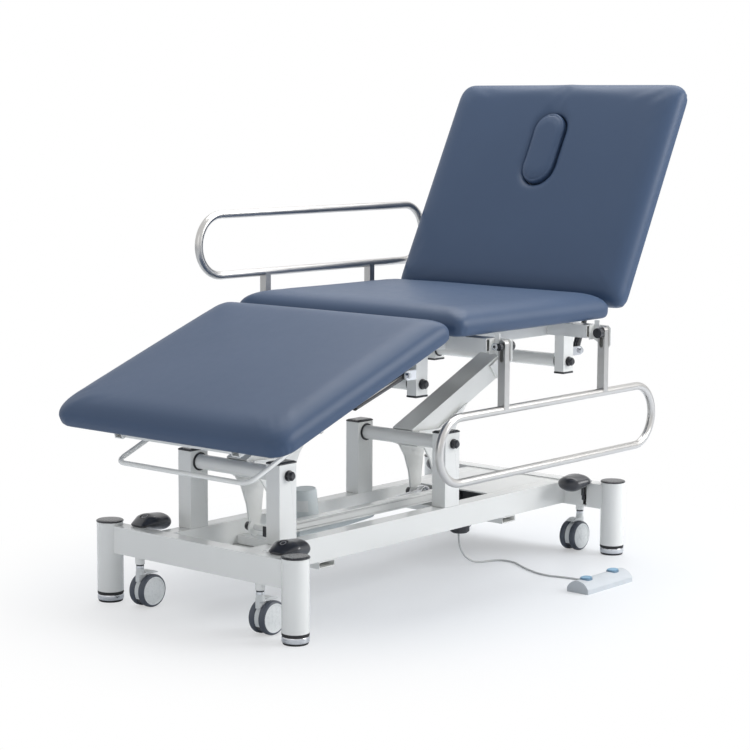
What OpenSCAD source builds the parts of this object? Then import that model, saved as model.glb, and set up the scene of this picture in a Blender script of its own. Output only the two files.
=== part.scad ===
// Three section treatment couch: powered parallelogram lift, tilting back and leg
// sections, swing-down side rails, retractable castors and a foot switch.
// +X runs from the foot end to the head end, +Z is up, all sizes in millimetres.

/* [Cushions] */
// Width of the three cushions
cushion_w = 710; // [560:10:800]
// Thickness of a cushion with its board
cushion_t = 62; // [40:1:90]
// Corner radius of the cushions seen from above
cushion_r = 30; // [20:5:110]
// Length of the leg cushion
leg_len = 601; // [400:1:700]
// Length of the seat cushion
seat_len = 602; // [450:1:700]
// Length of the back cushion
back_len = 615; // [450:1:800]
// Fall of the leg section below level, degrees
leg_drop = 20.3; // [0:0.1:28]
// Rise of the back section above level, degrees
back_rise = 62.5; // [0:0.1:75]

/* [Lift] */
// Distance between the two lower pivots
pivot_gap = 575; // [450:5:650]
// Height of the lower pivots
pivot_z = 327; // [280:1:380]
// Length of a lift arm between its pivots
arm_len = 415; // [350:1:480]
// Rise of the lift arms above level, degrees
arm_rise = 24; // [12:0.5:60]
// Width of a lift arm
arm_w = 62; // [40:1:90]
// Depth of a lift arm
arm_h = 50; // [30:1:70]
// Radius of the torsion tubes
torsion_r = 17; // [12:0.5:25]
// Forward reach of the lever pin from its pivot
lever_x = 98; // [70:1:120]
// Drop of the lever pin below its pivot
lever_z = 155; // [120:1:170]

/* [Base] */
// Half distance between corner post axes, lengthwise
post_x = 590; // [500:5:700]
// Half distance between corner post axes, crosswise
post_y = 288; // [250:2:340]
// Radius of a corner post
post_r = 30; // [20:1:40]
// Half width of the base over the side rails
rail_y = 157; // [120:1:200]
// Top of the side rails
rail_top = 175; // [150:1:220]

/* [Side rails] */
// Offset of the guard rails from the centre plane
guard_y = 373; // [350:1:420]
// Height of the guard rail pivots
guard_z = 585.5; // [540:0.5:640]
// Radius of the guard rail tube
guard_r = 9.8; // [8:0.1:14]
// Distance between the straight tubes of a guard rail
guard_h = 148; // [110:1:200]

/* [Castors] */
// Radius of a castor wheel
wheel_r = 37.5; // [30:0.5:60]
// Offset of the wheel axle from the swivel axis
trail = 22; // [10:1:35]

/* [Hidden] */
$fn = 48;
// shift of the base centre that puts the origin under the middle of the whole couch
shift_x = -49.43;
shift_y = 57.5;
wall = 2.5;
gap = 0.3;
pin_r = 8;
// derived lift points
p1x = -471.5;
p2x = p1x + pivot_gap;
arm_dx = arm_len * cos(arm_rise);
arm_dz = arm_len * sin(arm_rise);
q1x = p1x + arm_dx;
q2x = p2x + arm_dx;
qz = pivot_z + arm_dz;
hang_y = 220;
hang_t = 28;
// section hinges
leg_hx = -135;
back_hx = 529.3;
back_s0 = 22;
hinge_z = 598;
pad_z = 18;
seat_x0 = -122;
// base levels
beam_in = 564;
beam_out = 604;
beam_z0 = 116;
beam_z1 = 178;
rail_z0 = 118;
rail_w = 40;
foot_h = 24;
post_top = 184.5;
bpost_top = 352.6;
bpost_w = 54;
// castor levels
stem_x = 592;
stem_y = 187;
pedal_y = 28;
slot_y = stem_y + 33;
socket_z = 100;
neck_z = 90.7;
// guard rail legs
guard_legs = [13.5, 410];
// actuator
act_ax = -300;
act_beam = -335;
act_az = 140;
act_y = 16;
act_px = p2x + lever_x;
act_pz = pivot_z - lever_z;
act_l = sqrt(pow(act_px - act_ax, 2) + pow(act_pz - act_az, 2));
act_a = atan2(act_pz - act_az, act_px - act_ax);
// struts: lower end on the hanging posts, upper end on the section frames
strut_y = 205;
leg_bx = -141;
leg_bz = 520;
leg_sx = -330;
leg_sz = -58;
handle_x = -380;
handle_z = 2;
handle_r = 5.6;
back_bx = 533;
back_bz = 519;
back_sx = 260;
back_sz = -24;

paint = [0.90, 0.91, 0.90];
vinyl = [0.26, 0.32, 0.42];
black = [0.10, 0.10, 0.11];
steel = [0.78, 0.78, 0.78];
grey = [0.62, 0.64, 0.65];

module place() { translate([shift_x, shift_y, 0]) children(); }
module box(x0, x1, y0, y1, z0, z1) {
  translate([x0, y0, z0]) cube([x1 - x0, y1 - y0, z1 - z0]);
}
module tube_x(x0, x1, y0, y1, z0, z1, t = wall) {
  difference() {
    box(x0, x1, y0, y1, z0, z1);
    box(x0 - 1, x1 + 1, y0 + t, y1 - t, z0 + t, z1 - t);
  }
}
module tube_y(x0, x1, y0, y1, z0, z1, t = wall) {
  difference() {
    box(x0, x1, y0, y1, z0, z1);
    box(x0 + t, x1 - t, y0 - 1, y1 + 1, z0 + t, z1 - t);
  }
}
module tube_z(x0, x1, y0, y1, z0, z1, t = wall) {
  difference() {
    box(x0, x1, y0, y1, z0, z1);
    box(x0 + t, x1 - t, y0 + t, y1 - t, z0 - 1, z1 + 1);
  }
}
module cyl_x(x0, x1, y, z, r) { translate([x0, y, z]) rotate([0, 90, 0]) cylinder(h = x1 - x0, r = r); }
module cyl_y(x, y0, y1, z, r) { translate([x, y1, z]) rotate([90, 0, 0]) cylinder(h = y1 - y0, r = r); }
module cyl_z(x, y, z0, z1, r) { translate([x, y, z0]) cylinder(h = z1 - z0, r = r); }
// flat plate in the XZ plane, from y0 to y1
module plate_y(pts, y0, y1) {
  translate([0, y1, 0]) rotate([90, 0, 0]) linear_extrude(y1 - y0) polygon(pts);
}
// flat plate in the YZ plane, from x0 to x1
module plate_x(pts, x0, x1) {
  translate([x0, 0, 0]) rotate([90, 0, 90]) linear_extrude(x1 - x0) polygon(pts);
}
// round ended bar along X, and the same shape as an upright slot in the XZ plane
module stadium(r, d, h) {
  for (x = [-d, d]) translate([x, 0, 0]) cylinder(h = h, r = r);
  translate([-d, -r, 0]) cube([2 * d, 2 * r, h]);
}
module sides() {
  children();
  mirror([0, 1, 0]) children();
}
module flip(sx, sy) {
  mirror([sx < 0 ? 1 : 0, 0, 0]) mirror([0, sy < 0 ? 1 : 0, 0]) children();
}
module corners() {
  for (sx = [-1, 1])
    for (sy = [-1, 1])
      flip(sx, sy) children();
}
function unit(v) = v / norm(v);
function tangent(p, i) = unit(p[min(len(p) - 1, i + 1)] - p[max(0, i - 1)]);
// round bar of radius r and k sides along the points p; ref is never along the bar
module sweep(p, r, k, ref) {
  m = len(p);
  a = 360 / k;
  ring = [for (i = [0:m - 1])
    let (t = tangent(p, i), u = unit(cross(t, ref)), v = cross(t, u))
    for (j = [0:k - 1]) p[i] + r * (cos(a * j) * u + sin(a * j) * v)];
  polyhedron(points = ring, faces = concat(
    [[for (j = [0:k - 1]) j]],
    [[for (j = [k - 1:-1:0]) (m - 1) * k + j]],
    [for (i = [0:m - 2], j = [0:k - 1])
      [i * k + j, (i + 1) * k + j, (i + 1) * k + (j + 1) % k, i * k + (j + 1) % k]]));
}
module in_leg() { place() translate([leg_hx, 0, hinge_z]) rotate([0, -leg_drop, 0]) children(); }
module in_back() { place() translate([back_hx, 0, hinge_z]) rotate([0, -back_rise, 0]) children(); }
module in_arm(px) { place() translate([px, 0, pivot_z]) rotate([0, -arm_rise, 0]) children(); }

// ---- base ----
module side_rail() color(paint) place() {
  sides() tube_x(-beam_in + 0.1, beam_in - 0.1, rail_y - rail_w, rail_y, rail_z0, rail_top);
  for (x = [-345, 328])
    tube_y(x - 27, x + 27, -rail_y, rail_y, 102, rail_z0 - 0.1);
  // cross tube that carries the actuator clevis
  tube_y(act_beam - 17, act_beam + 17, -rail_y + rail_w + 0.1, rail_y - rail_w - 0.1, 119, 139);
}
module end_beam() color(paint) place() for (s = [-1, 1]) flip(s, 1) difference() {
  tube_y(beam_in, beam_out, -275, 275, beam_z0, beam_z1);
  for (sy = [-1, 1]) {
    cyl_z(post_x, sy * post_y, beam_z0 - 1, beam_z1 + 1, post_r + 0.05);
    cyl_z(stem_x, sy * stem_y, beam_z0 - 1, beam_z0 + 6, 7);
    box(beam_in - 1, beam_in + 5, sy * slot_y - 5, sy * slot_y + 5, 121, 174);
  }
}
module corner_post() color(paint) place() corners() difference() {
  cyl_z(post_x, post_y, foot_h, post_top, post_r);
  cyl_z(post_x, post_y, foot_h - 1, post_top + 1, post_r - wall);
}
module level_foot() color(steel) place() corners() translate([post_x, post_y, 0]) {
  cylinder(h = 5, r1 = 27, r2 = 29);
  translate([0, 0, 5]) rotate_extrude()
    polygon([[0, 0], [29, 0], [30, 2], [30, 10], [29, 12], [28.5, 12], [28.5, 14], [30, 14],
      [30, 19 - 0.1], [0, 19 - 0.1]]);
  translate([0, 0, 23.9]) cylinder(h = 22, r = post_r - wall - 0.2);
}
module base_post() color(paint) place() sides() for (x = [p1x - 1.2, p2x - 2])
  difference() {
    tube_z(x - bpost_w / 2, x + bpost_w / 2, rail_y - rail_w, rail_y, rail_top + 0.1, bpost_top);
    cyl_y(x < 0 ? p1x : p2x, rail_y - rail_w - 1, rail_y + 1, pivot_z, pin_r + 0.1);
  }
module base_cap() color(black) place() {
  corners() translate([post_x, post_y, post_top]) {
    translate([0, 0, 0.1]) rotate_extrude()
      polygon([[0, 0], [31, 0], [31.4, 1], [31, 2.6], [29, 4], [24, 4.6], [0, 4.8]]);
    translate([0, 0, -11.9]) cylinder(h = 12, r = post_r - wall - 0.2);
  }
  sides() for (x = [p1x - 1.2, p2x - 2]) {
    hull() {
      box(x - 27.4, x + 27.4, rail_y - rail_w - 0.4, rail_y + 0.4, bpost_top + 0.1, bpost_top + 3);
      box(x - 23, x + 23, rail_y - rail_w + 4, rail_y - 4, bpost_top + 3, bpost_top + 5.5);
    }
    box(x - 24.3, x + 24.3, rail_y - rail_w + 2.7, rail_y - 2.7, bpost_top - 10, bpost_top + 0.1);
  }
}
module pivot_cap() color(black) place() sides() for (x = [p1x, p2x]) {
  translate([x, rail_y + 0.1, pivot_z]) rotate([-90, 0, 0]) {
    cylinder(h = 3, r = 12);
    translate([0, 0, 3]) cylinder(h = 8, r = 10.5, $fn = 12);
    translate([0, 0, 11]) cylinder(h = 4, r1 = 10, r2 = 6.5);
  }
  cyl_y(x, 100, rail_y + 0.1, pivot_z, pin_r);
  difference() {
    cyl_y(x, 114.5, 116.9, pivot_z, 21);
    cyl_y(x, 114, 118, pivot_z, pin_r - 1);
  }
}
module head_cover() color(paint) place() {
  box(294, beam_in - 0.2, -116.8, 116.8, rail_top - 3, rail_top);
  for (s = [-1, 1])
    box(294, beam_in - 0.2, s * 112.3 - 4.4, s * 112.3 + 4.4, rail_top - 12, rail_top - 3);
}
module control_box() color(grey) place() {
  difference() {
    box(372, 548, -92, 92, 120, rail_top - 3.1);
    box(375, 545, -89, 89, 123, rail_top - 5);
    box(371, 376, 26, 54, 128, 149);
  }
  power_inlet();
}
module junction_box() color(black) place() translate([215, -92, 0]) {
  translate([0, 0, 90]) cylinder(h = 26, r = 24);
  translate([0, 0, 86]) cylinder(h = 4, r1 = 19, r2 = 24);
  translate([0, 0, 116]) cylinder(h = 40, r = 14);
}
module power_inlet() difference() {
  box(366, 392, 26.3, 53.7, 128.3, 148.7);
  box(365, 384, 30, 50, 131, 146);
}
module actuator_mount() color(paint) place() {
  box(act_beam + 13, act_beam + 17.2, -1.5, 33.5, 139.1, 152);
  for (y = [-1.5, 29.5])
    difference() {
      union() {
        box(act_beam + 17.1, act_ax, y, y + 4, 128, 152);
        cyl_y(act_ax, y, y + 4, act_az, 12);
      }
      cyl_y(act_ax, y - 1, y + 5, act_az, 5.05);
    }
  cyl_y(act_ax, -4, 36, act_az, 5);
}
module castor_socket() color(paint) place() corners() difference() {
  cyl_z(stem_x, stem_y, socket_z, beam_z0 - 0.1, 10.6);
  cyl_z(stem_x, stem_y, socket_z - 1, beam_z0, 9.3);
}

// ---- castors: sx is -1 at the foot end, sy is -1 on the near side ----
module castor_at(sx, sy) { place() flip(sx, sy) translate([stem_x, stem_y, 0]) children(); }
module castor_stem(sx, sy) color(steel) castor_at(sx, sy) {
  translate([0, 0, neck_z + 0.3]) cylinder(h = 4.5, r = 9);
  translate([0, 0, neck_z + 4.8]) cylinder(h = 1, r = 8.2);
  translate([0, 0, neck_z + 5.8]) cylinder(h = 4.4, r = 9);
  translate([0, 0, neck_z + 10]) cylinder(h = 60, r = 6);
  translate([0, 0, 62]) cylinder(h = 30, r = 5);
}
module castor_hood(sx, sy) color(paint) castor_at(sx, sy) difference() {
  union() {
    translate([0, 0, 76]) cylinder(h = neck_z - 76, r = 9.1);
    translate([0, 0, 76]) cylinder(h = 6, r = 10.2);
    box(-12, 9, -5.8, 5.8, 60, 76.1);
    cyl_y(-trail, -5.8, 5.8, wheel_r, 34.5);
    intersection() {
      cyl_y(-trail, -13, 13, wheel_r, 45);
      box(-trail - 40, 11, -11, 11, wheel_r + 38.2, 88);
    }
  }
  translate([0, 0, 58]) cylinder(h = 40, r = 5.05);
  cyl_y(-trail, -12, 12, wheel_r, 4.05);
  box(-trail - 40, 30, -12, 12, -10, 8);
}
module castor_wheel(sx, sy) color(grey) castor_at(sx, sy) translate([-trail, 0, wheel_r]) {
  for (s = [-1, 1]) rotate([s * 90, 0, 0]) rotate_extrude()
    polygon([[0, 6.2], [34, 6.2], [36.5, 8], [wheel_r, 11], [wheel_r, 18], [36, 21.5],
      [32, 23], [29, 23], [28, 21.5], [10, 21.5], [8, 22.6], [0, 22.6]]);
  rotate([90, 0, 0]) translate([0, 0, -7]) cylinder(h = 14, r = 4);
}
module pedal(sx, sy) color(black) castor_at(sx, sy) translate([0, pedal_y, 0]) {
  difference() {
    hull() {
      translate([-20, 0, 182]) scale([0.25, 0.9, 0.13]) sphere(r = 24, $fn = 32);
      translate([-56, 0, 186]) scale([1, 1.35, 0.62]) sphere(r = 28, $fn = 32);
      translate([-84, 0, 182]) scale([0.9, 1.2, 0.7]) sphere(r = 28, $fn = 32);
    }
    box(-28.6, 40, -60, 60, 120, 178.6);
    translate([-42, 0, 199]) rotate([0, 25, 0]) translate([0, 0, -1.2]) cylinder(h = 16, r = 12);
  }
  cyl_y(-17, -15, 15, 181.4, 2.2);
  box(-39, -33, 2, 8, 146, 180);
  box(-36, -27, 2, 8, 134, 147);
}
module castor_stem_fn() castor_stem(-1, -1);
module castor_stem_ff() castor_stem(-1, 1);
module castor_stem_hn() castor_stem(1, -1);
module castor_stem_hf() castor_stem(1, 1);
module castor_hood_fn() castor_hood(-1, -1);
module castor_hood_ff() castor_hood(-1, 1);
module castor_hood_hn() castor_hood(1, -1);
module castor_hood_hf() castor_hood(1, 1);
module castor_wheel_fn() castor_wheel(-1, -1);
module castor_wheel_ff() castor_wheel(-1, 1);
module castor_wheel_hn() castor_wheel(1, -1);
module castor_wheel_hf() castor_wheel(1, 1);
module pedal_fn() pedal(-1, -1);
module pedal_ff() pedal(-1, 1);
module pedal_hn() pedal(1, -1);
module pedal_hf() pedal(1, 1);

// ---- lift ----
module torsion_tube(x, half) {
  difference() {
    cyl_y(x, -half, half, 0, torsion_r);
    cyl_y(x, -half + 22, half - 22, 0, torsion_r - 3);
    cyl_y(x, -half - 1, -half + 23, 0, pin_r + 0.05);
    cyl_y(x, half - 23, half + 1, 0, pin_r + 0.05);
  }
}
module lift_arm(px) color(paint) in_arm(px) {
  difference() {
    tube_x(8, arm_len - 8, -arm_w / 2, arm_w / 2, -arm_h / 2 - 6, arm_h / 2 - 6);
    cyl_y(0, -60, 60, 0, torsion_r - 0.5);
    cyl_y(arm_len, -60, 60, 0, torsion_r - 0.5);
  }
  torsion_tube(0, 114.2);
  torsion_tube(arm_len, 189.2);
  for (y = [-arm_w / 2 - 5.1, arm_w / 2 + 0.1])
    difference() {
      plate_y([[arm_len - 80, 12], [arm_len, 16.5], [arm_len + 14, 9], [arm_len + 2, -17],
        [arm_len - 34, -31], [arm_len - 66, -31]], y, y + 5);
      cyl_y(arm_len, y - 1, y + 6, 0, torsion_r - 0.5);
    }
}
module front_arm() lift_arm(p1x);
module rear_arm() lift_arm(p2x);
module lever(px) color(paint) place() translate([px, 0, pivot_z]) {
  for (y = [-42, 37])
    difference() {
      union() {
        plate_y([[2, -17], [34, -27], [56, -58], [72, -100], [79, -140],
          [117, -140], [121, -100], [128, -53], [144, -16], [161, 17], [201, 66], [169, 50],
          [93, 14], [14, 17]], y, y + 5);
        cyl_y(lever_x, y, y + 5, -lever_z, 20);
      }
      cyl_y(0, y - 1, y + 6, 0, torsion_r + 0.05);
    }
  cyl_y(lever_x, -46, 46, -lever_z, 7);
  for (y = [-47, 42.1])
    cyl_y(lever_x, y, y + 4.9, -lever_z, 12);
}
module front_lever() lever(p1x);
module rear_lever() lever(p2x);
module tie_bar() color(paint) place() translate([0, -21.5, pivot_z - lever_z]) {
  difference() {
    tube_x(p1x + lever_x - 24, p2x + lever_x + 24, -12.5, 12.5, -12.5, 12.5);
    for (x = [p1x + lever_x, p2x + lever_x])
      cyl_y(x, -14, 14, 0, 7.05);
  }
}
module in_act() { place() translate([act_ax, act_y, act_az]) rotate([0, -act_a, 0]) children(); }
module actuator_body() color(grey) in_act() {
  actuator_motor();
  difference() {
    union() {
      cyl_y(0, -11.5, 11.5, 0, 12);
      box(0, 30, -11.5, 11.5, -12, 12);
      box(30, 128, -20, 20, -19, 24);
      cyl_x(128, 300, 0, 0, 19);
    }
    cyl_y(0, -13, 13, 0, 5.06);
    cyl_x(122, 301, 0, 0, 13.05);
  }
}
module actuator_motor() translate([88, 12, 24]) rotate_extrude()
  polygon([[0, 0], [32, 0], [31, 12], [28, 66], [26.5, 69.5], [23, 71], [0, 71]]);
module actuator_rod() color(steel) in_act() difference() {
  union() {
    cyl_x(150, act_l - 14, 0, 0, 13);
    cyl_y(act_l, -9, 9, 0, 19.5);
  }
  cyl_y(act_l, -10, 10, 0, 13);
}

// ---- upper frame ----
module upper_rail() color(paint) place() {
  difference() {
    sides() {
      tube_x(leg_hx + 4, back_hx - 4, hang_y - 25, hang_y, hinge_z - 29, hinge_z + 4);
      for (x = [leg_hx, back_hx])
        cyl_y(x, hang_y - 25, hang_y - 1, hinge_z, 12);
    }
    for (x = [leg_hx, back_hx])
      cyl_y(x, -hang_y - 1, hang_y + 1, hinge_z, 6.05);
  }
  for (x = guard_legs)
    sides() tube_y(x - 20, x + 20, hang_y + 0.1, 337.5, hinge_z - 27.5, hinge_z + 4);
  for (x = guard_legs)
    tube_y(x - 20, x + 20, -hang_y + 25.1, hang_y - 25.1, hinge_z - 27.5, hinge_z + 4);
}
module hanging_post() color(paint) place() sides() for (x = [q1x, q2x])
  difference() {
    tube_z(x - 20.5, x + 20.5, hang_y - hang_t, hang_y, qz - 26, hinge_z - 29.1);
    cyl_y(x, hang_y - hang_t - 1, hang_y + 1, qz, pin_r + 0.1);
  }
module upper_cap() color(black) place() sides() for (x = [q1x, q2x]) {
  box(x - 20.9, x + 20.9, hang_y - hang_t - 0.4, hang_y + 0.4, qz - 30.5, qz - 26.1);
  translate([x, hang_y + 0.1, qz]) rotate([-90, 0, 0]) {
    cylinder(h = 3, r = 12);
    translate([0, 0, 3]) cylinder(h = 8, r = 10.5, $fn = 12);
    translate([0, 0, 11]) cylinder(h = 4, r1 = 10, r2 = 6.5);
  }
  cyl_y(x, 173, hang_y + 0.1, qz, pin_r);
  difference() {
    cyl_y(x, 189.5, 191.9, qz, 21);
    cyl_y(x, 189, 193, qz, pin_r - 1);
  }
}
module strut_ear(bx, bz, px) {
  for (y = [hang_y - 4, hang_y - 29])
    difference() {
      union() {
        cyl_y(bx, y, y + 4, bz, 11);
        box(min(px, bx), max(px, bx), y, y + 4, bz - 11, bz + 11);
      }
      cyl_y(bx, y - 1, y + 5, bz, 5.05);
    }
  cyl_y(bx, hang_y - 31, hang_y + 1, bz, 5);
  cyl_y(bx, hang_y + 0.1, hang_y + 6, bz, 6.5);
}
module strut_tab() color(paint) place() sides() {
  strut_ear(leg_bx, leg_bz, q1x - 20.6);
  strut_ear(back_bx, back_bz, q2x + 20.6);
}
module rail_bracket() color(paint) place() sides() for (x = guard_legs) {
  difference() {
    plate_x([[337.6, 566], [337.6, 602], [381, 602], [387, 596], [387, 556], [383, 549],
      [376, 547], [368, 549]], x + 10.1, x + 13.1);
    plate_x([[337.6, 566], [337.6, 602], [362, 602], [362, 553], [357, 551]], x - 13.1, x - 10.1);
    cyl_x(x - 20, x + 20, guard_y, guard_z, 5.05);
  }
  box(x - 10.2, x + 10.2, 337.6, 339.4, 566, 602);
  box(x - 13.1, x - 10.1, 355.5, 369.5, 601.9, 615.5);
}
module seat_board() color(black) place()
  box(seat_x0 + 40, seat_x0 + seat_len - 40, -194, 194, hinge_z + 4.1, hinge_z + pad_z - 0.1);

// upholstered slab with rounded corners and soft upper edges
module slab(x0, x1, w, z0, t, r) {
  e = 16;
  hull() {
    for (x = [x0 + r, x1 - r])
      for (y = [-w / 2 + r, w / 2 - r]) {
        translate([x, y, z0]) cylinder(h = t * 0.35, r = r, $fn = 40);
        translate([x, y, z0 + t * 0.7]) cylinder(h = 0.1, r = r - e * 0.35, $fn = 40);
        translate([x, y, z0 + t - 0.1]) cylinder(h = 0.1, r = r - e * 1.6, $fn = 40);
      }
  }
}
module seat_cushion() color(vinyl) place()
  slab(seat_x0, seat_x0 + seat_len, cushion_w, hinge_z + pad_z, cushion_t, cushion_r);

// ---- leg section ----
module leg_frame() color(paint) in_leg() {
  sides() tube_x(-560, -14, hang_y - 52, hang_y - 27, -10, pad_z - 0.1);
  for (x = [-540, -300, -60])
    tube_y(x - 12.5, x + 12.5, -hang_y + 52.1, hang_y - 52.1, -10, pad_z - 0.1);
  sides() {
    difference() {
      union() {
        cyl_y(0, hang_y - 35, hang_y - 26, 0, 12);
        box(-14, 0, hang_y - 35, hang_y - 26, -12, 12);
      }
      cyl_y(0, hang_y - 36, hang_y - 20, 0, 6.05);
    }
    cyl_y(0, hang_y - 36, hang_y, 0, 6);
  }
  for (s = [-1, 1])
    difference() {
      union() {
        cyl_y(leg_sx, s * (strut_y - 24) - 2, s * (strut_y - 24) + 2, leg_sz, 12);
        box(leg_sx - 12, leg_sx + 12, s * (strut_y - 24) - 2, s * (strut_y - 24) + 2, leg_sz, -10.1);
      }
      cyl_y(leg_sx, s * (strut_y - 24) - 3, s * (strut_y - 24) + 3, leg_sz, 4);
    }
  sides() cyl_y(leg_sx, strut_y - 26, strut_y + 11, leg_sz, 4);
  sides() cyl_y(handle_x, hang_y - 28, hang_y - 8, handle_z, 4);
}
module leg_cushion() color(vinyl) in_leg()
  slab(6 - leg_len, 6, cushion_w, pad_z, cushion_t, cushion_r);
// one arm of the release handle, the other is its mirror image
handle_arm = [[handle_x - 4, 204, handle_z - 6], [-414, 204, -47], [-421, 204, -56],
  [-431, 204, -61], [-445, 204, -62.5], [-545, 204, -66], [-556, 201, -66.5],
  [-563, 195, -67], [-567, 186, -67], [-568, 176, -67], [-568, 60, -67]];
handle_n = len(handle_arm);
handle_path = concat(handle_arm, [for (i = [1:handle_n])
  [handle_arm[handle_n - i][0], -handle_arm[handle_n - i][1], handle_arm[handle_n - i][2]]]);
module release_handle() color(paint) in_leg() {
  sides() difference() {
    cyl_y(handle_x, hang_y - 26, hang_y - 8, handle_z, 9);
    cyl_y(handle_x, hang_y - 40, hang_y, handle_z, 4.05);
  }
  sweep(handle_path, handle_r, 12, [-0.9, 0, 0.44]);
}

// ---- back section ----
module back_frame() color(paint) in_back() {
  sides() tube_x(14, 560, hang_y - 52, hang_y - 27, -10, pad_z - 0.1);
  for (x = [60, 300, 548])
    tube_y(x - 12.5, x + 12.5, -hang_y + 52.1, hang_y - 52.1, -10, pad_z - 0.1);
  sides() {
    difference() {
      union() {
        cyl_y(0, hang_y - 35, hang_y - 26, 0, 12);
        box(0, 14, hang_y - 35, hang_y - 26, -12, 12);
      }
      cyl_y(0, hang_y - 36, hang_y - 20, 0, 6.05);
    }
    cyl_y(0, hang_y - 36, hang_y, 0, 6);
  }
  for (s = [-1, 1]) {
    cyl_y(back_sx, s * (strut_y - 24) - 2, s * (strut_y - 24) + 2, back_sz, 12);
    box(back_sx - 12, back_sx + 12, s * (strut_y - 24) - 2, s * (strut_y - 24) + 2, back_sz, -10.1);
  }
  sides() cyl_y(back_sx, strut_y - 26, strut_y + 11, back_sz, 4);
}
// face opening, its middle measured from the back hinge
face_x = 432;
module face_hole(d, z0, z1) {
  translate([face_x, 0, z0]) stadium(50 - d, 53, z1 - z0);
}
module back_cushion() color(vinyl) in_back() difference() {
  slab(back_s0, back_s0 + back_len, cushion_w, pad_z, cushion_t, cushion_r);
  face_hole(0, pad_z - 1, pad_z + cushion_t + 1);
}
module face_plug() color(vinyl) in_back() {
  face_hole(3, pad_z + 0.3, pad_z + cushion_t - 6);
  face_hole(6, pad_z + cushion_t - 6.1, pad_z + cushion_t - 1);
}

// ---- gas struts: from a pin on the hanging post to a pin on the tilting section ----
module strut_body(l) {
  sides() difference() {
    union() {
      cyl_y(0, strut_y - 6, strut_y + 6, 0, 10);
      cyl_x(0, l * 0.6, strut_y, 0, 9.5);
    }
    cyl_y(0, strut_y - 10, strut_y + 10, 0, 5.06);
    cyl_x(20, l * 0.6 + 1, strut_y, 0, 4.05);
  }
}
module strut_rod(l, eye) {
  sides() difference() {
    union() {
      cyl_x(l * 0.42, l - eye, strut_y, 0, 4);
      cyl_y(l, strut_y - 5, strut_y + 5, 0, eye + 4);
    }
    cyl_y(l, strut_y - 6, strut_y + 6, 0, eye);
  }
}
module aim(bx, bz, tx, tz) {
  place() translate([bx, 0, bz]) rotate([0, -atan2(tz - bz, tx - bx), 0]) children();
}
leg_tx = leg_hx + leg_sx * cos(leg_drop) - leg_sz * sin(leg_drop);
leg_tz = hinge_z + leg_sx * sin(leg_drop) + leg_sz * cos(leg_drop);
leg_sl = norm([leg_tx - leg_bx, leg_tz - leg_bz]);
back_tx = back_hx + back_sx * cos(back_rise) - back_sz * sin(back_rise);
back_tz = hinge_z + back_sx * sin(back_rise) + back_sz * cos(back_rise);
back_sl = norm([back_tx - back_bx, back_tz - back_bz]);
module leg_strut() color(black) aim(leg_bx, leg_bz, leg_tx, leg_tz) strut_body(leg_sl);
module leg_rod() color(steel) aim(leg_bx, leg_bz, leg_tx, leg_tz) strut_rod(leg_sl, 5.6);
module back_strut() color(black) aim(back_bx, back_bz, back_tx, back_tz) strut_body(back_sl);
module back_rod() color(steel) aim(back_bx, back_bz, back_tx, back_tz) strut_rod(back_sl, 10.5);

// ---- guard rails: the near one hangs down, the far one stands up ----
module guard_loop() {
  z1 = -145;
  z0 = z1 - guard_h;
  rc = guard_h / 2;
  for (z = [z0, z1])
    cyl_x(-144, 554, 0, z, guard_r);
  for (e = [[-144, 90], [554, -90]])
    translate([e[0], 0, z1 - rc]) rotate([90, 0, 0]) rotate([0, 0, e[1]])
      rotate_extrude(angle = 180, $fn = 60) translate([rc, 0]) circle(r = guard_r, $fn = 24);
  for (x = guard_legs)
    difference() {
      union() {
        box(x - 9, x + 9, -10, 10, z1, 5);
        cyl_x(x - 9, x + 9, 0, 5, 10);
      }
      cyl_x(x - 10, x + 10, 0, 0, 5.05);
      cyl_x(x - 10, x + 10, 0, -31, 5.05);
      box(x - 10, x + 10, -5.05, 5.05, -31, 0);
    }
}
module near_guard() color(steel) place() translate([0, -guard_y, guard_z]) guard_loop();
module far_guard() color(steel) place() translate([0, guard_y, guard_z - 17]) rotate([180, 0, 0]) guard_loop();
module guard_pins(s) {
  for (x = guard_legs)
    cyl_x(x - 16, x + 16, s * guard_y, guard_z, 5);
  cyl_x(guard_legs[0] - 22, guard_legs[0] - 13.3, s * guard_y, guard_z, 8.5);
  cyl_x(guard_legs[1] + 13.3, guard_legs[1] + 20, s * guard_y, guard_z, 8.5);
  cyl_x(guard_legs[0] + 13.3, guard_legs[0] + 27, s * guard_y, guard_z, 12);
  cyl_x(guard_legs[1] - 27, guard_legs[1] - 13.3, s * guard_y, guard_z, 12);
}
module near_pin() color(black) place() guard_pins(-1);
module far_pin() color(black) place() guard_pins(1);

// ---- foot switch ----
sw_x = 270;
sw_y = -470;
module foot_switch() color(grey) place() translate([sw_x, sw_y, 0]) difference() {
  intersection() {
    cyl_x(-92, 92, -2, -4, 33);
    box(-93, 93, -32, 28, 0, 40);
  }
  for (x = [-58, 52])
    translate([x, -2, 18]) stadium(13, 4, 20);
}
module button(x) color([0.35, 0.52, 0.72]) place() translate([sw_x + x, sw_y - 2, 21.5]) {
  stadium(12.7, 4, 9);
  translate([0, 0, 8.9]) stadium(11, 4, 2.6);
}
module lift_button() button(-58);
module lower_button() button(52);
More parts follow.
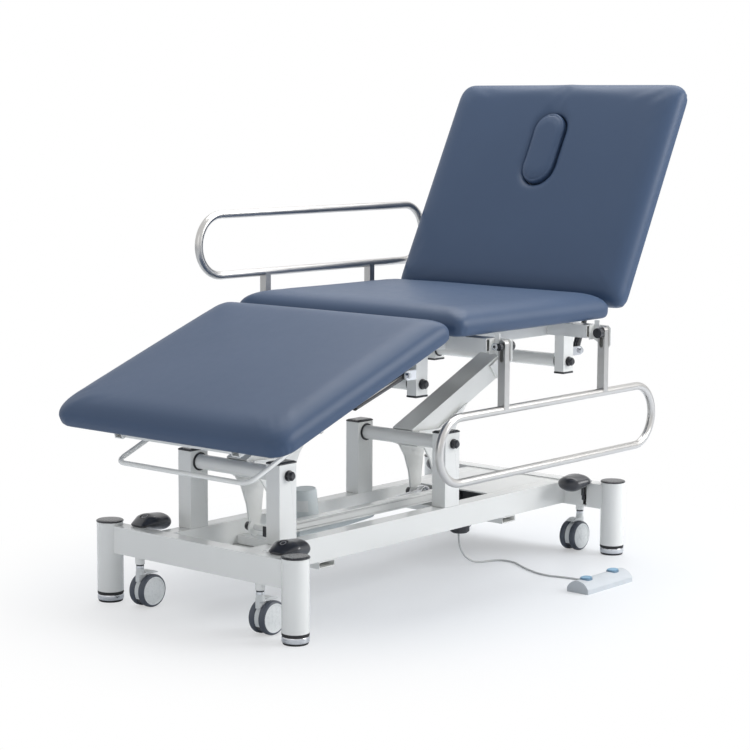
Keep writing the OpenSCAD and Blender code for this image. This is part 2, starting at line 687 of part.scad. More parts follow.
// cable route from the junction box over the floor to the foot switch
cord_r = 2.4;
cord_pts = [[206, -96, 85.5], [206, -97, 70], [212, -98, 46], [228, -101, 24], [252, -105, 9],
  [280, -110, 3.5], [306, -117, 2.6], [326, -130, 2.6], [334, -150, 2.6], [330, -176, 2.6],
  [314, -204, 2.6], [298, -232, 2.6], [284, -262, 2.6], [274, -292, 2.6], [271, -322, 2.6],
  [278, -350, 2.6], [284, -378, 2.6], [284, -404, 3.5], [282, -426, 7], [280, -440, 9]];
cord_n = len(cord_pts);
cord_steps = 2;
function at(i) = cord_pts[max(0, min(cord_n - 1, i))];
function spline(a, b, c, d, t) = 0.5 * (2 * b + (c - a) * t
  + (2 * a - 5 * b + 4 * c - d) * t * t + (3 * b - a - 3 * c + d) * t * t * t);
cord_path = [for (i = [0:cord_n - 2], k = [0:cord_steps - 1])
  spline(at(i - 1), at(i), at(i + 1), at(i + 2), k / cord_steps), at(cord_n - 1)];
module switch_cord() color(grey) place() sweep(cord_path, cord_r, 8, [0.9, 0.44, 0]);

side_rail();
end_beam();
corner_post();
level_foot();
base_post();
base_cap();
pivot_cap();
head_cover();
control_box();
junction_box();
actuator_mount();
castor_socket();
foot_switch();
castor_stem_fn();
castor_stem_ff();
castor_stem_hn();
castor_stem_hf();
castor_hood_fn();
castor_hood_ff();
castor_hood_hn();
castor_hood_hf();
castor_wheel_fn();
castor_wheel_ff();
castor_wheel_hn();
castor_wheel_hf();
pedal_fn();
pedal_ff();
pedal_hn();
pedal_hf();
front_arm();
rear_arm();
front_lever();
rear_lever();
tie_bar();
actuator_body();
actuator_rod();
upper_rail();
hanging_post();
upper_cap();
strut_tab();
rail_bracket();
seat_board();
seat_cushion();
leg_frame();
leg_cushion();
release_handle();
leg_strut();
leg_rod();
back_frame();
back_cushion();
face_plug();
back_strut();
back_rod();
near_pin();
near_guard();
far_pin();
far_guard();
lift_button();
lower_button();
switch_cord();
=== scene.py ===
import math
import bmesh
import bpy
import numpy as np
from mathutils import Matrix, Vector, noise


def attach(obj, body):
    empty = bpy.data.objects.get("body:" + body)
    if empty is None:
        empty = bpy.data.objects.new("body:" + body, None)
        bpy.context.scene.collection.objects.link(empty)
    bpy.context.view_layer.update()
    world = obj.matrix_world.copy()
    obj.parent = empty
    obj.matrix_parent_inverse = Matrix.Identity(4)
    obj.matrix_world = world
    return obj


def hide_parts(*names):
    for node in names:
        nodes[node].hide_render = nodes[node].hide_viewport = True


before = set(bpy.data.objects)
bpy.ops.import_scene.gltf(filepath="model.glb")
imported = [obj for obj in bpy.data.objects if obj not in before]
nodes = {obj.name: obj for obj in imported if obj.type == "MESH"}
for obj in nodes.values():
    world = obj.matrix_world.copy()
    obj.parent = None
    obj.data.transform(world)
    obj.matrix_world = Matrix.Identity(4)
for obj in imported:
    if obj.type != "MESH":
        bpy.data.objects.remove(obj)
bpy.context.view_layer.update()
SHIFT = np.array([-0.04943, 0.0575, 0.0])  # the middle of the base in the row frame
MM = 0.001


# ------------------------------------------------------------------ camera
EYE = (-3.6960, -3.1656, 1.1278)  # from the middle of the base
YAW, PITCH, ROLL = math.radians(40.65), math.radians(7.44), 0.0046
LENS, LENS_SHIFT = 98.8, (0.00315, -0.00222)


def make_camera():
    ahead = Vector((math.cos(PITCH) * math.cos(YAW), math.cos(PITCH) * math.sin(YAW), -math.sin(PITCH)))
    right = ahead.cross(Vector((0, 0, 1))).normalized()
    up = right.cross(ahead)
    c, s = math.cos(ROLL), math.sin(ROLL)
    right, up = c * right + s * up, c * up - s * right
    data = bpy.data.cameras.new("camera")
    data.sensor_width = 36
    data.lens = LENS
    data.shift_x, data.shift_y = LENS_SHIFT
    data.clip_end = 60
    camera = bpy.data.objects.new("camera", data)
    turn = Matrix((right, up, -ahead)).transposed().to_4x4()
    camera.matrix_world = Matrix.Translation(Vector(EYE) + Vector(SHIFT)) @ turn
    bpy.context.scene.collection.objects.link(camera)
    bpy.context.scene.camera = camera


make_camera()


# --------------------------------------------------------------- materials
class Nodes:
    """A small helper round one material's node tree."""

    def __init__(self, name):
        self.mat = bpy.data.materials.new(name)
        self.mat.use_nodes = True
        self.tree = self.mat.node_tree
        self.bsdf = self.tree.nodes["Principled BSDF"]
        self.coord = self.tree.nodes.new("ShaderNodeTexCoord").outputs["Object"]

    def new(self, kind, **values):
        node = self.tree.nodes.new(kind)
        for key, value in values.items():
            if key in node.inputs:
                node.inputs[key].default_value = value
            else:
                setattr(node, key, value)
        return node

    def link(self, a, b):
        self.tree.links.new(a, b)

    def stretched(self, scale):
        node = self.new("ShaderNodeMapping")
        node.inputs["Scale"].default_value = scale
        self.link(self.coord, node.inputs["Vector"])
        return node.outputs["Vector"]

    def noise(self, scale, detail=3, rough=0.5, vector=None):
        node = self.new("ShaderNodeTexNoise", Scale=scale, Detail=detail, Roughness=rough)
        self.link(vector or self.coord, node.inputs["Vector"])
        return node.outputs["Fac"]

    def cells(self, scale, feature="DISTANCE_TO_EDGE", vector=None):
        node = self.new("ShaderNodeTexVoronoi", Scale=scale)
        node.feature = feature
        self.link(vector or self.coord, node.inputs["Vector"])
        return node.outputs["Distance"]

    def ramp(self, source, stops):
        node = self.new("ShaderNodeValToRGB")
        elements = node.color_ramp.elements
        while len(elements) < len(stops):
            elements.new(0.5)
        for element, (at, colour) in zip(elements, stops):
            element.position = at
            element.color = (*colour, 1)
        self.link(source, node.inputs["Fac"])
        return node.outputs["Color"]

    def spread(self, source, low, high):
        node = self.new("ShaderNodeMapRange")
        node.inputs["To Min"].default_value = low
        node.inputs["To Max"].default_value = high
        self.link(source, node.inputs["Value"])
        return node.outputs["Result"]

    def bump(self, source, depth, strength=1.0, below=None):
        node = self.new("ShaderNodeBump", Strength=strength, Distance=depth)
        self.link(source, node.inputs["Height"])
        if below is not None:
            self.link(below, node.inputs["Normal"])
        return node.outputs["Normal"]


def tint(colour, k):
    return tuple(min(1.0, c * k) for c in colour)


def material(name, colour, rough, metal=0.0, vary=0.06, vary_scale=6, rough_vary=0.06,
             grain=None, coat=0.0, stretch=None):
    """A finish with small colour and gloss variation, and bumps from grain = [(kind, scale, depth)]."""
    n = Nodes(name)
    source = n.stretched(stretch) if stretch else None
    cloud = n.noise(vary_scale, 4, 0.55)
    n.link(n.ramp(cloud, [(0.3, tint(colour, 1 - vary)), (0.7, tint(colour, 1 + vary))]),
           n.bsdf.inputs["Base Color"])
    fine = n.noise(vary_scale * 9, 3, 0.6, source)
    n.link(n.spread(fine, rough - rough_vary, rough + rough_vary), n.bsdf.inputs["Roughness"])
    n.bsdf.inputs["Metallic"].default_value = metal
    if coat:
        n.bsdf.inputs["Coat Weight"].default_value = coat
        n.bsdf.inputs["Coat Roughness"].default_value = 0.12
    below = None
    for kind, scale, depth in grain or []:
        height = n.cells(scale, vector=source) if kind == "cells" else n.noise(scale, 3, 0.5, source)
        below = n.bump(height, depth, 1.0, below)
    if below is not None:
        n.link(below, n.bsdf.inputs["Normal"])
    return n.mat


NAVY = (0.052, 0.088, 0.162)
PAINT_WHITE = (0.86, 0.865, 0.845)


def vinyl_material():
    """Upholstery vinyl: a fine pebble grain over slow, shallow unevenness of the foam."""
    n = Nodes("navy_vinyl")
    cloud = n.noise(3.2, 4, 0.6)
    n.link(n.ramp(cloud, [(0.28, tint(NAVY, 0.96)), (0.55, NAVY), (0.78, tint(NAVY, 1.05))]),
           n.bsdf.inputs["Base Color"])
    n.link(n.spread(n.noise(38, 3, 0.6), 0.40, 0.47), n.bsdf.inputs["Roughness"])
    pebble = n.bump(n.cells(700), 0.00012, 0.45)
    pores = n.bump(n.noise(1500, 2, 0.5), 0.00005, 0.4, pebble)
    n.link(pores, n.bsdf.inputs["Normal"])
    n.bsdf.inputs["Specular IOR Level"].default_value = 0.35
    return n.mat


M = {
    "vinyl": vinyl_material(),
    "paint": material("white_paint", PAINT_WHITE, 0.20, vary=0.008, vary_scale=4, rough_vary=0.02,
                      grain=[("noise", 300, 0.000012)], coat=0.5),
    "cap": material("black_cap", (0.019, 0.020, 0.025), 0.28, vary=0.15, vary_scale=30,
                    grain=[("noise", 1400, 0.00004)], coat=0.25),
    "pedal": material("black_pedal", (0.030, 0.032, 0.040), 0.30, vary=0.12, vary_scale=20,
                      grain=[("noise", 1500, 0.00003)], coat=0.35),
    "mark": material("pedal_mark", (0.30, 0.30, 0.32), 0.4, vary=0.05, vary_scale=40,
                     grain=[("noise", 1500, 0.00003)]),
    "steel": material("brushed_steel", (0.60, 0.59, 0.575), 0.30, metal=1.0, vary=0.02, vary_scale=10,
                      rough_vary=0.03, grain=[("noise", 40, 0.000004)], stretch=(3, 60, 60)),
    "steel_up": material("brushed_steel_upright", (0.56, 0.55, 0.535), 0.30, metal=1.0, vary=0.02,
                         vary_scale=10, rough_vary=0.03, grain=[("noise", 40, 0.000004)],
                         stretch=(60, 60, 3)),
    "chrome": material("polished_chrome", (0.66, 0.67, 0.69), 0.10, metal=1.0, vary=0.02, vary_scale=20,
                       rough_vary=0.03, grain=[("noise", 300, 0.00001)]),
    "shell": material("white_plastic", (0.70, 0.72, 0.72), 0.34, vary=0.02, vary_scale=12,
                      grain=[("noise", 900, 0.00003)]),
    "hub": material("hub_plastic", (0.80, 0.82, 0.82), 0.28, vary=0.03, vary_scale=18,
                    grain=[("noise", 700, 0.00003)], coat=0.2),
    "tread": material("tread_rubber", (0.075, 0.086, 0.110), 0.42, vary=0.10, vary_scale=40,
                      grain=[("noise", 900, 0.00008)]),
    "rubber": material("black_rubber", (0.018, 0.018, 0.02), 0.6, vary=0.15, vary_scale=40,
                       grain=[("noise", 700, 0.0001)]),
    "grey": material("motor_grey", (0.64, 0.69, 0.70), 0.42, vary=0.04, vary_scale=12,
                     grain=[("noise", 1100, 0.00006)]),
    "dark": material("dark_grey_plastic", (0.035, 0.037, 0.042), 0.5, vary=0.1, vary_scale=20,
                     grain=[("noise", 1100, 0.0001)]),
    "switch": material("switch_grey", (0.60, 0.635, 0.67), 0.42, vary=0.03, vary_scale=16,
                       grain=[("noise", 1300, 0.00006)]),
    "switch_end": material("switch_end_grey", (0.50, 0.53, 0.56), 0.45, vary=0.04, vary_scale=16,
                           grain=[("noise", 1300, 0.00006)]),
    "button": material("button_side", (0.16, 0.26, 0.36), 0.45, vary=0.06, vary_scale=40,
                       grain=[("noise", 1500, 0.00005)]),
    "button_top": material("button_blue", (0.22, 0.43, 0.62), 0.40, vary=0.06, vary_scale=40,
                           grain=[("noise", 1500, 0.00005)], coat=0.2),
    "cord": material("cord_grey", (0.52, 0.53, 0.53), 0.5, vary=0.05, vary_scale=40,
                     grain=[("noise", 900, 0.00005)]),
    "lining": material("black_lining", (0.022, 0.022, 0.025), 0.85, vary=0.2, vary_scale=120,
                       grain=[("cells", 900, 0.0002)]),
    "label": material("label_white", (0.78, 0.80, 0.80), 0.4, vary=0.03, vary_scale=60,
                      grain=[("noise", 900, 0.00002)]),
    "enamel": material("strut_black", (0.016, 0.016, 0.018), 0.24, vary=0.1, vary_scale=20,
                       grain=[("noise", 500, 0.00004)], coat=0.5),
}


# -------------------------------------------------------------- mesh tools
def mesh_object(name, points, faces, mats, smooth=35, face_mats=None):
    data = bpy.data.meshes.new(name)
    data.from_pydata([tuple(p) for p in points], [], faces)
    for m in mats if isinstance(mats, (list, tuple)) else [mats]:
        data.materials.append(M[m])
    if face_mats is not None:
        data.polygons.foreach_set("material_index", face_mats)
    data.validate()
    data.update()
    ob = bpy.data.objects.new(name, data)
    bpy.context.scene.collection.objects.link(ob)
    soften(data, smooth)
    return ob


def soften(data, angle=35):
    data.polygons.foreach_set("use_smooth", [True] * len(data.polygons))
    data.set_sharp_from_angle(angle=math.radians(angle))


def row(points):
    """Base-centred metres to the row frame."""
    return np.asarray(points, float) + SHIFT


def bevel(ob, width, segments=2, angle=30):
    mod = ob.modifiers.new("bevel", "BEVEL")
    mod.width = width
    mod.segments = segments
    mod.limit_method = "ANGLE"
    mod.angle_limit = math.radians(angle)
    mod.harden_normals = False
    return mod


class Build:
    """Collects lathed and boxed shapes into one mesh with several materials."""

    def __init__(self):
        self.points, self.faces, self.index, self.mats = [], [], [], []

    def slot(self, mat):
        if mat not in self.mats:
            self.mats.append(mat)
        return self.mats.index(mat)

    def add(self, points, faces, mat):
        base = len(self.points)
        self.points += [tuple(p) for p in points]
        self.faces += [tuple(base + i for i in f) for f in faces]
        self.index += [self.slot(mat)] * len(faces)

    def lathe(self, profile, mat, at=(0, 0, 0), axis="z", sides=48, flip=1):
        """profile = [(radius, height)], closed where the radius is 0; flip = -1 reverses the heights."""
        pts, faces, rings = [], [], []
        for r, h in profile:
            if r < 1e-7:
                rings.append([len(pts)])
                pts.append((0, 0, h))
            else:
                rings.append(list(range(len(pts), len(pts) + sides)))
                for k in range(sides):
                    a = 2 * math.pi * k / sides
                    pts.append((r * math.cos(a), r * math.sin(a), h))
        for lo, hi in zip(rings, rings[1:]):
            for k in range(sides):
                j = (k + 1) % sides
                quad = [lo[k % len(lo)], lo[j % len(lo)], hi[j % len(hi)], hi[k % len(hi)]]
                quad = list(dict.fromkeys(quad))
                if len(quad) > 2:
                    faces.append(quad)
        p = np.array(pts)
        p[:, 2] *= flip
        if axis == "y":
            p = p[:, [0, 2, 1]]
        elif axis == "x":
            p = p[:, [2, 0, 1]]
        self.add(p + np.asarray(at), faces, mat)

    def box(self, lo, hi, mat):
        x0, y0, z0 = lo
        x1, y1, z1 = hi
        pts = [(x, y, z) for z in (z0, z1) for y in (y0, y1) for x in (x0, x1)]
        faces = [(0, 2, 3, 1), (4, 5, 7, 6), (0, 1, 5, 4), (2, 6, 7, 3), (0, 4, 6, 2), (1, 3, 7, 5)]
        self.add(pts, faces, mat)

    def make(self, name, body, replaces=(), smooth=35, edge=0.0, move=None):
        pts = np.array(self.points)
        pts = row(pts) if move is None else move(pts)
        ob = mesh_object(name, pts, self.faces, self.mats, smooth, self.index)
        bm = bmesh.new()
        bm.from_mesh(ob.data)
        bmesh.ops.recalc_face_normals(bm, faces=bm.faces)
        bm.to_mesh(ob.data)
        bm.free()
        soften(ob.data, smooth)
        if edge:
            bevel(ob, edge)
        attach(ob, body)
        if replaces:
            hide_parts(*replaces)
        return ob


def arc(cx, cy, r, a0, a1, steps):
    return [(cx + r * math.cos(math.radians(a0 + (a1 - a0) * k / steps)),
             cy + r * math.sin(math.radians(a0 + (a1 - a0) * k / steps))) for k in range(steps + 1)]


# ------------------------------------------------------- carried CAD nodes
CORNERS = ["fn", "ff", "hn", "hf"]  # foot or head end, near or far side
STEM_X, STEM_Y, TRAIL = 0.592, 0.187, 0.022
WHEEL_R, HUB_R = 0.0375, 0.0322
SWITCH_X, SWITCH_HALF = 0.270, 0.0915
CAD_LOOK = {
    "paint": ["side_rail", "end_beam", "corner_post", "base_post", "head_cover", "actuator_mount",
              "castor_socket", "front_arm", "rear_arm", "front_lever", "rear_lever", "tie_bar",
              "upper_rail", "hanging_post", "rail_bracket", "leg_frame", "release_handle",
              "back_frame"],
    "dark": ["control_box", "junction_box"],
    "lining": ["seat_board"],
    "chrome": ["actuator_rod", "leg_rod", "back_rod"],
    "enamel": ["leg_strut", "back_strut"],
    "cap": ["near_pin", "far_pin", "base_cap", "pivot_cap", "upper_cap"],
}
FINE_EDGES = {"paint": 0.0011, "dark": 0.0015, "lining": 0.001, "cap": 0.0005}


def corner_sign(corner):
    return (-1 if corner[0] == "f" else 1), (-1 if corner[1] == "n" else 1)


def dress(name, mats, edge=0.0, pick=None):
    """Gives a CAD node its finishes, by where each face is, and softens its edges."""
    ob = nodes[name]
    data = ob.data
    data.materials.clear()
    for m in mats:
        data.materials.append(M[m])
    index = [0] * len(data.polygons)
    if pick:
        index = [pick(*(Vector(p.center) - Vector(SHIFT))) for p in data.polygons]
    data.polygons.foreach_set("material_index", index)
    weld = ob.modifiers.new("weld", "WELD")
    weld.merge_threshold = 0.00001
    if edge:
        bevel(ob, edge, segments=2, angle=34)
    data.polygons.foreach_set("use_smooth", [True] * len(data.polygons))
    normals = ob.modifiers.new("normals", "WEIGHTED_NORMAL")
    normals.keep_sharp = True
    normals.weight = 60


GUARD_LEGS = (0.0135, 0.410)


def guard_face(x, y, z):
    """Brushed upright, 1, on the legs between loop and brackets, and lengthwise, 0, elsewhere."""
    return int(min(abs(x - leg) for leg in GUARD_LEGS) < 0.0105 and z > 0.45)


def dress_cad():
    for look, names in CAD_LOOK.items():
        for name in names:
            dress(name, [look], FINE_EDGES.get(look, 0))
    for side in ("near_guard", "far_guard"):
        dress(side, ["steel", "steel_up"], 0.0006, guard_face)
    # bolt heads, outside the hanging posts' faces
    dress("strut_tab", ["paint", "chrome"], 0.0007, lambda x, y, z: int(abs(y) > 0.2199))
    # rubber pad below, chrome collar, black ring under the post
    dress("level_foot", ["chrome", "rubber"], 0.0004, lambda x, y, z: int(z < 0.0052 or z > 0.0168))
    dress("actuator_body", ["grey"], 0.0008)
    dress("foot_switch", ["switch", "switch_end"], 0.0035,
          lambda x, y, z: int(abs(x - SWITCH_X) > SWITCH_HALF))
    for name in ("lift_button", "lower_button"):
        dress(name, ["button", "button_top"], 0.0010, lambda x, y, z: int(z > 0.0320))
    for c in CORNERS:
        dress("castor_stem_" + c, ["chrome", "cap"], 0.0004, lambda x, y, z: int(0.0962 < z < 0.102))
        dress("castor_hood_" + c, ["shell", "cap"], 0.0009, lambda x, y, z: int(z < 0.02))
        dress("castor_wheel_" + c, ["hub", "tread"], 0.0006, wheel_face(c))
        dress("pedal_" + c, ["pedal"], 0.0012)


def wheel_face(corner):
    """Dark tread round the rim, pale hub inside it."""
    axle_x = corner_sign(corner)[0] * (STEM_X - TRAIL)

    def pick(x, y, z):
        return int(math.hypot(x - axle_x, z - WHEEL_R) > HUB_R)
    return pick


dress_cad()


# ---------------------------------------------------------------- cushions
def section(hinge_x, hinge_z, angle):
    """Local (along, across, up) of a tilting section to the row frame."""
    a = math.radians(angle)

    def move(p):
        p = np.asarray(p, float)
        x = hinge_x + p[:, 0] * math.cos(a) - p[:, 2] * math.sin(a)
        z = hinge_z + p[:, 0] * math.sin(a) + p[:, 2] * math.cos(a)
        return row(np.stack([x, p[:, 1], z], 1))
    return move


LEG = section(-0.135, 0.598, 20.3)
SEAT = section(0.0, 0.598, 0.0)
BACK = section(0.5293, 0.598, 62.5)
PAD_Z = 0.018  # the pads' underside, above the hinge line
WIDE = 0.71


def outline(x0, x1, wide, r0, r1, inset, per=14):
    """Counter-clockwise rounded rectangle with corner radius r0 at the x0 end and r1 at the x1 end."""
    x0, x1, y = x0 + inset, x1 - inset, wide / 2 - inset
    ra, rb = r0 + 0.45 * inset, r1 + 0.45 * inset
    pts = []
    for cx, cy, r, a in ((x1 - rb, y - rb, rb, 0), (x0 + ra, y - ra, ra, 90),
                         (x0 + ra, -y + ra, ra, 180), (x1 - rb, -y + rb, rb, 270)):
        pts += arc(cx, cy, r, a, a + 90, per)
    return pts


def shell(rings):
    """Closed mesh through stacked outlines [(points, z)]."""
    n = len(rings[0][0])
    pts = [(x, y, z) for ring, z in rings for x, y in ring]
    faces = [tuple(range(n))[::-1], tuple(range((len(rings) - 1) * n, len(rings) * n))]
    for k in range(len(rings) - 1):
        a, b = k * n, (k + 1) * n
        faces += [(a + i, a + (i + 1) % n, b + (i + 1) % n, b + i) for i in range(n)]
    return pts, faces


def remeshed(name, pts, faces, voxel):
    ob = mesh_object(name, pts, faces, "vinyl")
    mod = ob.modifiers.new("remesh", "REMESH")
    mod.mode = "VOXEL"
    mod.voxel_size = voxel
    mod.adaptivity = 0
    dg = bpy.context.evaluated_depsgraph_get()
    fresh = bpy.data.meshes.new_from_object(ob.evaluated_get(dg))
    ob.modifiers.clear()
    old, ob.data = ob.data, fresh
    bpy.data.meshes.remove(old)
    ob.data.materials.clear()
    ob.data.materials.append(M["vinyl"])
    return ob


def coords(ob):
    co = np.zeros(len(ob.data.vertices) * 3)
    ob.data.vertices.foreach_get("co", co)
    return co.reshape(-1, 3)


def set_coords(ob, co):
    ob.data.vertices.foreach_set("co", np.asarray(co, np.float32).ravel())
    ob.data.update()


def smooth_verts(ob, times, factor=0.5):
    bm = bmesh.new()
    bm.from_mesh(ob.data)
    for _ in range(times):
        bmesh.ops.smooth_vert(bm, verts=bm.verts, factor=factor,
                              use_axis_x=True, use_axis_y=True, use_axis_z=True)
    bm.to_mesh(ob.data)
    bm.free()


def inflate(ob, held, cap, pressure=4.0, frames=20):
    """Blows the cover up from inside with cloth, each point moving at most cap."""
    rest = coords(ob)
    group = ob.vertex_groups.new(name="held")
    group.add([int(i) for i in np.nonzero(held)[0]], 1.0, "REPLACE")
    mod = ob.modifiers.new("cloth", "CLOTH")
    cloth = mod.settings
    cloth.vertex_group_mass = "held"
    cloth.quality = 4
    cloth.mass = 0.25
    cloth.tension_stiffness = 12
    cloth.compression_stiffness = 12
    cloth.bending_stiffness = 0.4
    cloth.use_pressure = True
    cloth.uniform_pressure_force = pressure
    cloth.effector_weights.gravity = 0
    mod.point_cache.frame_end = frames
    scene = bpy.context.scene
    for f in range(1, frames + 1):
        scene.frame_set(f)
    dg = bpy.context.evaluated_depsgraph_get()
    result = bpy.data.meshes.new_from_object(ob.evaluated_get(dg))
    after = np.zeros(len(result.vertices) * 3)
    result.vertices.foreach_get("co", after)
    after = after.reshape(-1, 3)
    ob.modifiers.clear()
    ob.vertex_groups.clear()
    bpy.data.meshes.remove(result)
    scene.frame_set(1)
    step = after - rest
    size = np.linalg.norm(step, axis=1, keepdims=True)
    step *= np.minimum(1.0, cap / np.maximum(size, 1e-9))
    set_coords(ob, rest + step)
    smooth_verts(ob, 3)


def smoothstep(a, b, x):
    t = np.clip((x - a) / (b - a), 0, 1)
    return t * t * (3 - 2 * t)


ROUND, SPREAD = 0.037, 0.048  # height and width of a pad's rounded edge
LIP = 0.004
CROWN, STRETCH = 0.0035, 0.0022  # rise of the middle, and the most that the cloth may swell
PLEAT = 0.0010


def cushion(name, body, node, x0, length, move, radii, wide=WIDE, off=0.0, hole=None, seed=0):
    """Foam pad under vinyl: soft crowned top, large rounded edge, small gathers under the corners."""
    x1 = x0 + length
    base = 0.021  # height of the widest line
    flank = 0.0008
    profile = [(0.036, 0.0), (0.016, -LIP), (0.0075, -LIP * 0.4),
               (0.0030, 0.0050), (0.0012, 0.0130), (flank, base)]
    for a in range(10, 91, 10):
        turn = math.radians(a)
        profile.append((flank + SPREAD * (1 - math.cos(turn)), base + ROUND * math.sin(turn)))
    rings = [(outline(x0, x1, wide, *radii, d), PAD_Z + z) for d, z in profile]
    pts, faces = shell(rings)
    voxel = 0.006
    ob = remeshed(name, pts, faces, voxel)
    if hole:
        cutter = mesh_object("cut", *hole(), "vinyl")
        mod = ob.modifiers.new("cut", "BOOLEAN")
        mod.object = cutter
        mod.solver = "EXACT"
        dg = bpy.context.evaluated_depsgraph_get()
        cut = bpy.data.meshes.new_from_object(ob.evaluated_get(dg))
        p = np.zeros(len(cut.vertices) * 3)
        cut.vertices.foreach_get("co", p)
        f = [tuple(q.vertices) for q in cut.polygons]
        bpy.data.objects.remove(cutter)
        bpy.data.objects.remove(ob)
        ob = remeshed(name, p.reshape(-1, 3), f, voxel)
    smooth_verts(ob, 3)
    co = coords(ob)
    u = (co[:, 0] - (x0 + x1) / 2) / (length / 2)
    v = co[:, 1] / (wide / 2)
    top = smoothstep(PAD_Z + 0.030, PAD_Z + base + ROUND, co[:, 2])
    co[:, 2] += top * CROWN * (1 - np.abs(u) ** 3) * (1 - np.abs(v) ** 3)
    set_coords(ob, co)
    inflate(ob, co[:, 2] < PAD_Z + 0.006, STRETCH)
    co = coords(ob)
    # gathers where the cover is pleated under each corner
    for end, r in ((x0, radii[0]), (x1, radii[1])):
        for side in (-1, 1):
            out = 1 if end == x1 else -1
            dx = (co[:, 0] - (end - out * r)) * out
            dy = (co[:, 1] - side * (wide / 2 - r)) * side
            angle = np.arctan2(dy, dx)
            here = (dx > 0) & (dy > 0)
            low = 1 - smoothstep(PAD_Z + 0.005, PAD_Z + 0.026, co[:, 2])
            wave = np.sin(angle * 16 + seed) + 0.5 * np.sin(angle * 29 + 2 * seed)
            depth = PLEAT * here * low * (wave - 0.4)
            co[:, 0] += np.cos(angle) * depth * out
            co[:, 1] += np.sin(angle) * depth * side
    # slow unevenness of vinyl stretched by hand over foam
    wob = np.array([noise.noise(Vector((p[0] * 4, p[1] * 4, seed))) for p in co])
    co[:, 2] += smoothstep(PAD_Z + 0.03, PAD_Z + 0.055, co[:, 2]) * wob * 0.0012
    co[:, 1] += off
    set_coords(ob, move(co))
    soften(ob.data, 60)
    sub = ob.modifiers.new("subdivision", "SUBSURF")
    sub.levels = sub.render_levels = 1
    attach(ob, body)
    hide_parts(node)
    return ob


FACE_X, FACE_R, FACE_D = 0.432, 0.050, 0.053
PLUG_STRETCH, PLUG_CROWN = 0.0015, 0.0020
WELT_R, WELT_WIDE, WELT_DEEP = 0.0385, 0.0013, 0.0022
BACK_OFF = -0.006


def stadium(r, d, per=20):
    """A round-ended slot whose long sides swell a little."""
    pts = arc(FACE_X + d, 0, r, -90, 90, per) + arc(FACE_X - d, 0, r, 90, 270, per)
    full = d + r
    return [(x, y * (0.93 + 0.07 * math.cos(math.pi / 2 * min(1, abs(x - FACE_X) / full))))
            for x, y in pts]


def face_cutter():
    return shell([(stadium(FACE_R - 0.001, FACE_D), -0.02), (stadium(FACE_R - 0.001, FACE_D), 0.12)])


def face_plug():
    """Removable pad that stands proud of the face opening, with a sewn welt round its top."""
    z = PAD_Z + 0.0005
    profile = [(0.0065, 0), (0.0045, 0.002), (0.0036, 0.010), (0.0036, 0.052), (0.0030, 0.060),
               (0.0042, 0.0645), (0.0075, 0.0670), (0.0125, 0.0680), (0.018, 0.0684)]
    rings = [(stadium(FACE_R - d, FACE_D), z + h) for d, h in profile]
    ob = remeshed("face_plug_pad", *shell(rings), 0.003)
    smooth_verts(ob, 1)
    co = coords(ob)
    inflate(ob, co[:, 2] < z + 0.056, PLUG_STRETCH)
    co = coords(ob)
    u = np.maximum(np.abs(co[:, 0] - FACE_X) - FACE_D, 0)
    reach = np.hypot(u, co[:, 1])
    top = smoothstep(z + 0.058, z + 0.065, co[:, 2])
    co[:, 2] += top * PLUG_CROWN * (1 - (reach / FACE_R) ** 2)
    co[:, 2] -= top * np.exp(-((reach - WELT_R) / WELT_WIDE) ** 2) * WELT_DEEP
    co[:, 1] += BACK_OFF
    set_coords(ob, BACK(co))
    soften(ob.data, 60)
    sub = ob.modifiers.new("subdivision", "SUBSURF")
    sub.levels = sub.render_levels = 1
    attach(ob, "face_plug")
    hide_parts("face_plug")


cushion("leg_pad", "leg_section", "leg_cushion", -0.595, 0.601, LEG, (0.040, 0.022), seed=1)
cushion("seat_pad", "upper_frame", "seat_cushion", -0.122, 0.602, SEAT, (0.022, 0.022), seed=2)
cushion("back_pad", "back_section", "back_cushion", 0.022, 0.615, BACK, (0.022, 0.036), wide=0.716,
        off=BACK_OFF, hole=face_cutter, seed=3)
face_plug()


# -------------------------------------------------------------------- cord
CORD_RADIUS = 0.0024
# millimetres from the middle of the base: down to the floor, and on to the foot switch
CORD_POINTS = [
    (206, -96, 85.5), (206, -97, 70), (212, -98, 46), (228, -101, 24), (252, -105, 9),
    (280, -110, 3.5), (306, -117, 2.6), (326, -130, 2.6), (334, -150, 2.6), (330, -176, 2.6),
    (314, -204, 2.6), (298, -232, 2.6), (284, -262, 2.6), (274, -292, 2.6), (271, -322, 2.6),
    (278, -350, 2.6), (284, -378, 2.6), (284, -404, 3.5), (282, -426, 7), (280, -440, 9)]


def cord():
    p = row(np.array(CORD_POINTS) * MM)
    n = len(p)
    line = []
    steps = 6
    for i in range(n - 1):
        a, b, c, d = (p[max(0, min(n - 1, k))] for k in range(i - 1, i + 3))
        for k in range(steps):
            t = k / steps
            line.append(0.5 * (2 * b + (c - a) * t + (2 * a - 5 * b + 4 * c - d) * t * t
                               + (3 * b - a - 3 * c + d) * t ** 3))
    line.append(p[-1])
    curve = bpy.data.curves.new("switch_lead", "CURVE")
    curve.dimensions = "3D"
    curve.bevel_depth = CORD_RADIUS
    curve.bevel_resolution = 4
    curve.use_fill_caps = True
    spline = curve.splines.new("POLY")
    spline.points.add(len(line) - 1)
    for point, q in zip(spline.points, line):
        point.co = (*q, 1)
    spline.use_smooth = True
    curve.materials.append(M["cord"])
    ob = bpy.data.objects.new("switch_lead", curve)
    bpy.context.scene.collection.objects.link(ob)
    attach(ob, "base")
    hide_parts("switch_cord")


cord()


